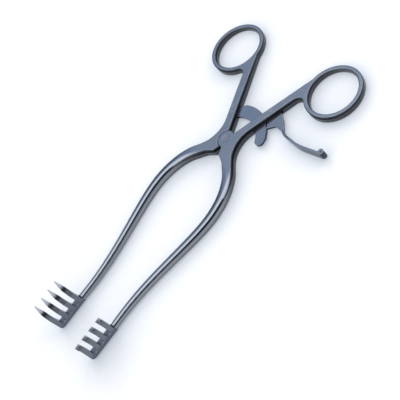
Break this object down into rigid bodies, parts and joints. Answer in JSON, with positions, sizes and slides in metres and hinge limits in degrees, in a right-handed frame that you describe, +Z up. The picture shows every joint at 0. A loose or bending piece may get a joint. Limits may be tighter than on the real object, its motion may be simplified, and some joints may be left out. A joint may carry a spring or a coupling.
{
  "type": "self retaining retractor",
  "caption": "Ring-handled self retaining retractor with bowed arms, hooked prong blades, a curved ratchet bar and a sprung release lever.",
  "frame": {"origin": "on the pivot's axis, in the plane of the flat underside", "axes": "+Z up from the flat underside through the prongs, +Y from the pivot towards the finger rings along the middle line, +X towards the half that carries the release lever"},
  "size_m": [0.1146, 0.1993, 0.0192],
  "materials": {
    "satin_steel": "satin, polished on the round of the arms",
    "blade_steel": "matt bead-blasted",
    "hardened_steel": "satin",
    "rivet_steel": "ground flush",
    "spring_steel": "tempered"
  },
  "bodies": {
    "left_side": {"left_half": "satin_steel", "left_prong_blade": "blade_steel", "pivot_rivet": "rivet_steel", "ratchet_bar": "hardened_steel", "ratchet_rivet_inner": "rivet_steel", "ratchet_rivet_outer": "rivet_steel"},
    "right_side": {"right_half": "satin_steel", "right_prong_blade": "blade_steel", "lever_pin": "rivet_steel", "lever_spring": "spring_steel", "lever_spring_pin": "rivet_steel"},
    "lever": {"release_lever": "hardened_steel"}
  },
  "joints": [
    {"name": "pivot_turn", "type": "hinge", "parent": "left_side", "child": "right_side", "pos_m": [0, 0, 0], "axis": [0, 0, 1], "range_deg": [-11.25, 42.75]},
    {"name": "lever_turn", "type": "hinge", "parent": "right_side", "child": "lever", "pos_m": [0.01383, 0.02504, 0], "axis": [0, 0, 1], "range_deg": [0, 9], "stiffness_Nm_per_rad": 0.12, "springref_deg": -28.65, "deforming": ["lever_spring"]}
  ]
}
